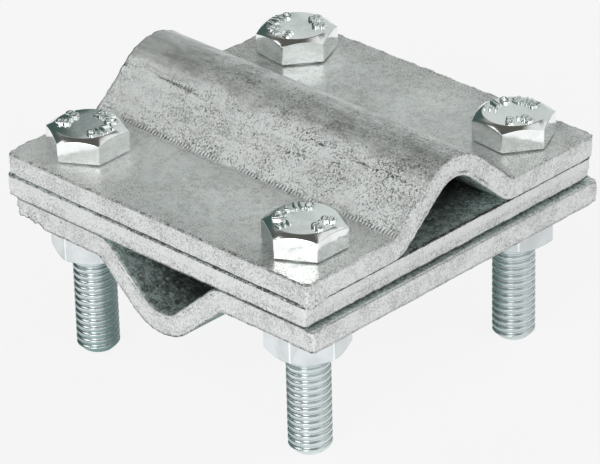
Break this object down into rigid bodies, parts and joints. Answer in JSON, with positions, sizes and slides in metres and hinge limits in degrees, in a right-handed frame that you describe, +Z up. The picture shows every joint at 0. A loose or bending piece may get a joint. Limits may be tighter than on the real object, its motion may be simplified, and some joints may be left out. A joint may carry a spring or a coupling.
{
  "type": "earthing cross connector",
  "caption": "Clamp of two grooved plates and a flat one between them, drawn together by corner bolts to join two round conductors that cross at a right angle.",
  "frame": {"origin": "middle of the bolt pattern, on the surface that the part stands on with its four bolt ends", "axes": "+Z up along the bolts towards their heads, +X along the upper groove, +Y along the lower groove"},
  "size_m": [0.0561, 0.0559, 0.0375],
  "materials": {
    "galvanised_plate": "mottled hot-dip zinc, half matt",
    "zinc_plated_steel": "bright bluish zinc plating"
  },
  "bodies": {
    "top_plate": {"top_plate": "galvanised_plate"},
    "middle_plate": {"middle_plate": "galvanised_plate"},
    "bottom_plate": {"bottom_plate": "galvanised_plate"},
    "bolt_front": {"bolt_front": "zinc_plated_steel"},
    "nut_front": {"nut_front": "zinc_plated_steel"},
    "bolt_left": {"bolt_left": "zinc_plated_steel"},
    "nut_left": {"nut_left": "zinc_plated_steel"},
    "bolt_back": {"bolt_back": "zinc_plated_steel"},
    "nut_back": {"nut_back": "zinc_plated_steel"},
    "bolt_right": {"bolt_right": "zinc_plated_steel"},
    "nut_right": {"nut_right": "zinc_plated_steel"}
  },
  "joints": [
    {"name": "clamp_opening", "type": "slide", "parent": "top_plate", "child": "bottom_plate", "axis": [0, 0, -1], "range_m": [0, 0.012]},
    {"name": "middle_plate_follow", "type": "slide", "parent": "top_plate", "child": "middle_plate", "axis": [0, 0, -1], "range_m": [0, 0.006]},
    {"name": "bolt_front_turn", "type": "hinge", "parent": "top_plate", "child": "bolt_front", "pos_m": [0.02, -0.02, 0.03], "axis": [0, 0, 1], "continuous": true},
    {"name": "bolt_left_turn", "type": "hinge", "parent": "top_plate", "child": "bolt_left", "pos_m": [-0.02, -0.02, 0.03], "axis": [0, 0, 1], "continuous": true},
    {"name": "bolt_back_turn", "type": "hinge", "parent": "top_plate", "child": "bolt_back", "pos_m": [-0.02, 0.02, 0.03], "axis": [0, 0, 1], "continuous": true},
    {"name": "bolt_right_turn", "type": "hinge", "parent": "top_plate", "child": "bolt_right", "pos_m": [0.02, 0.02, 0.03], "axis": [0, 0, 1], "continuous": true},
    {"name": "nut_front_turn", "type": "hinge", "parent": "bottom_plate", "child": "nut_front", "pos_m": [0.02, -0.02, 0.02015], "axis": [0, 0, -1], "range_deg": [0, 4320.1]},
    {"name": "nut_left_turn", "type": "hinge", "parent": "bottom_plate", "child": "nut_left", "pos_m": [-0.02, -0.02, 0.02015], "axis": [0, 0, -1], "range_deg": [0, 4320.1]},
    {"name": "nut_back_turn", "type": "hinge", "parent": "bottom_plate", "child": "nut_back", "pos_m": [-0.02, 0.02, 0.02015], "axis": [0, 0, -1], "range_deg": [0, 4320.1]},
    {"name": "nut_right_turn", "type": "hinge", "parent": "bottom_plate", "child": "nut_right", "pos_m": [0.02, 0.02, 0.02015], "axis": [0, 0, -1], "range_deg": [0, 4320.1]}
  ],
  "couplings": [
    {"joint": "middle_plate_follow", "follows": "clamp_opening", "ratio": 0.5},
    {"joint": "nut_front_turn", "follows": "clamp_opening", "rad_per_m": 6283.2},
    {"joint": "nut_left_turn", "follows": "clamp_opening", "rad_per_m": 6283.2},
    {"joint": "nut_back_turn", "follows": "clamp_opening", "rad_per_m": 6283.2},
    {"joint": "nut_right_turn", "follows": "clamp_opening", "rad_per_m": 6283.2}
  ]
}
